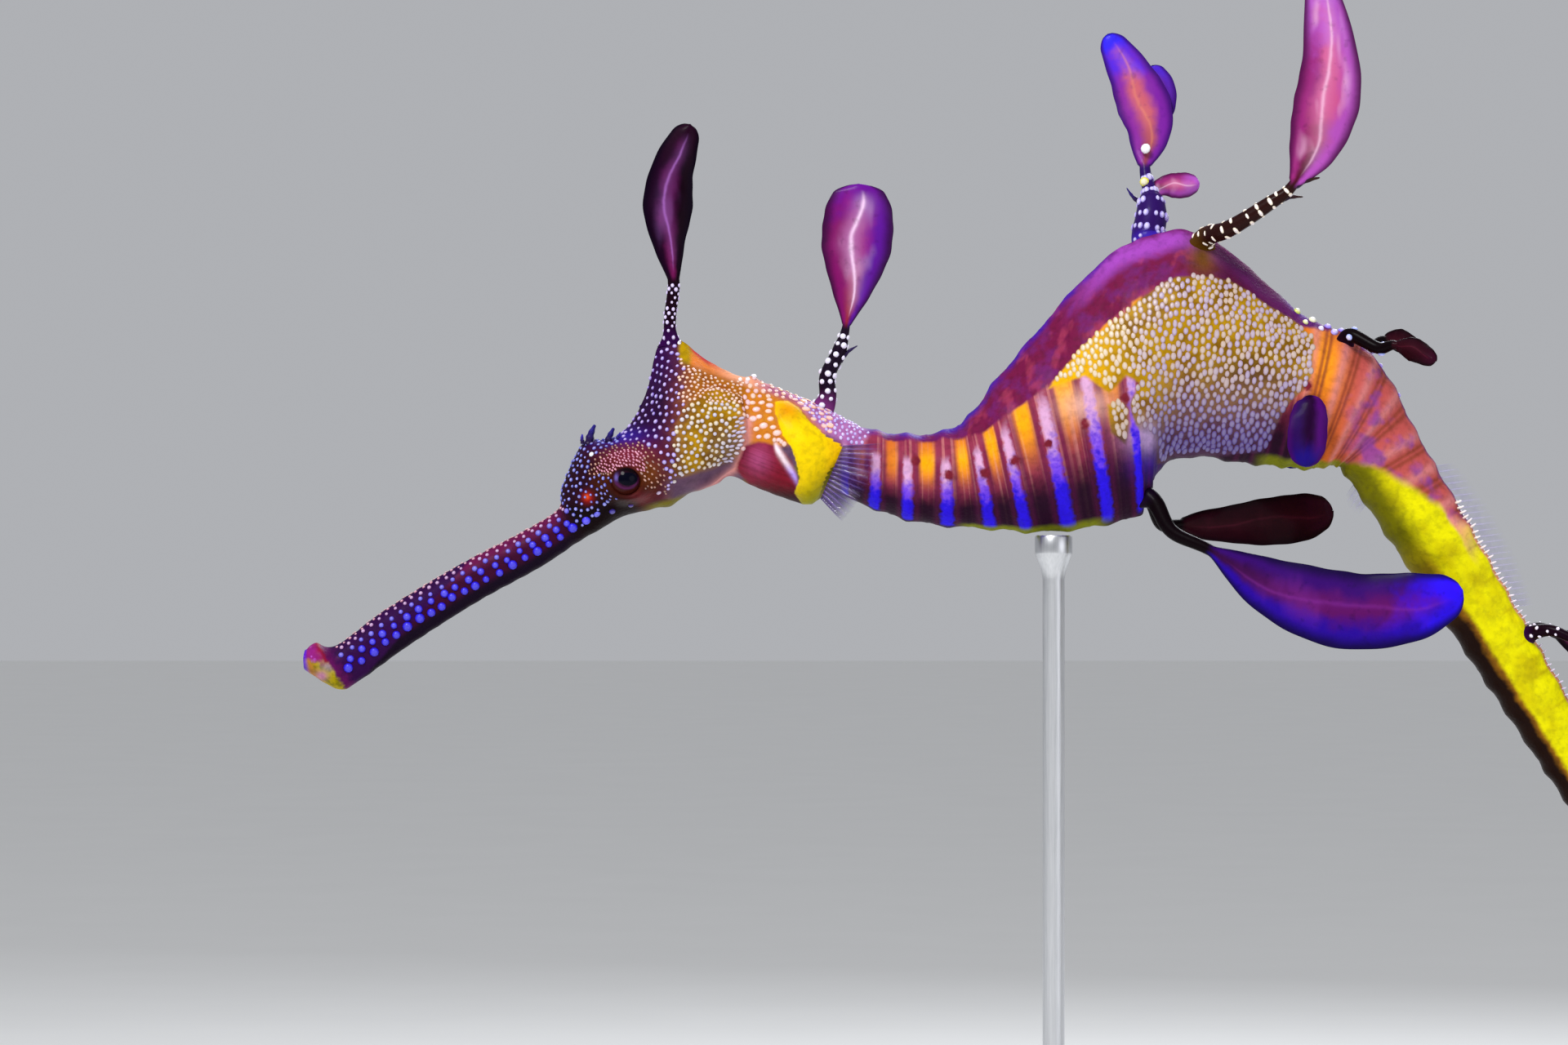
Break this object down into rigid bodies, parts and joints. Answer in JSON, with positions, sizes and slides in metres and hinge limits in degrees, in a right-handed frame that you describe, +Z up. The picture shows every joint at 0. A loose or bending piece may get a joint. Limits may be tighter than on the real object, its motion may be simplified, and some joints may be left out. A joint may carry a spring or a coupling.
{
  "type": "weedy seadragon model",
  "caption": "Life-size weedy seadragon with a long snout, arched body, leafy skin flaps and a trailing tail, held by a rod on a flat display base.",
  "frame": {"origin": "on the floor, under the middle of the whole model, which is the middle of the stand's base", "axes": "-X the way the snout points, -Y the animal's left side, +Z up"},
  "size_m": [0.2415, 0.088, 0.2756],
  "materials": {
    "skin_dark": "skin: dark purple with pale beads, satin",
    "skin_gold": "skin: orange to golden with pale oval spots and violet bars, satin",
    "skin_yellow": "skin: yellow side with a brown underside, satin",
    "leaf": "fleshy skin flap, maroon to violet, glossy",
    "fin": "thin clear fin with rays",
    "eye": "glossy dark eye",
    "stand_wood": "dark stained, satin",
    "stand_steel": "brushed"
  },
  "bodies": {
    "root": {"mouth": "skin_dark", "snout": "skin_dark", "head": "skin_dark", "neck": "skin_gold", "trunk_front": "skin_gold", "trunk_middle": "skin_gold", "trunk_hump": "skin_gold", "trunk_rear": "skin_gold", "tail_1": "skin_yellow", "tail_2": "skin_yellow", "tail_3": "skin_yellow", "tail_4": "skin_yellow", "tail_5": "skin_yellow", "eye_left": "eye", "eye_right": "eye", "stalk_nape": "skin_dark", "stalk_neck": "skin_dark", "stalk_hump_left": "skin_dark", "stalk_hump_right": "skin_dark", "stalk_rear_left": "skin_dark", "stalk_rear_right": "skin_dark", "stalk_belly_left": "skin_dark", "stalk_belly_right": "skin_dark", "stalk_tail_front_left": "skin_dark", "stalk_tail_front_right": "skin_dark", "stalk_tail_mid_left": "skin_dark", "stalk_tail_mid_right": "skin_dark", "stalk_tail_end_left": "skin_dark", "stalk_tail_end_right": "skin_dark", "leaf_nape": "leaf", "leaf_neck": "leaf", "leaf_hump_left": "leaf", "leaf_hump_right": "leaf", "leaf_hump_side": "leaf", "leaf_rear_left": "leaf", "leaf_rear_right": "leaf", "leaf_belly_left": "leaf", "leaf_belly_right": "leaf", "leaf_vent_left": "leaf", "leaf_vent_right": "leaf", "leaf_tail_front_left": "leaf", "leaf_tail_front_right": "leaf", "leaf_tail_mid_left": "leaf", "leaf_tail_mid_right": "leaf", "leaf_tail_end_left": "leaf", "leaf_tail_end_right": "leaf", "pectoral_fin_left": "fin", "pectoral_fin_right": "fin", "dorsal_fin": "fin", "anal_fin": "fin", "stand_base": "stand_wood", "stand_collar": "stand_steel", "stand_rod": "stand_steel"}
  },
  "joints": []
}
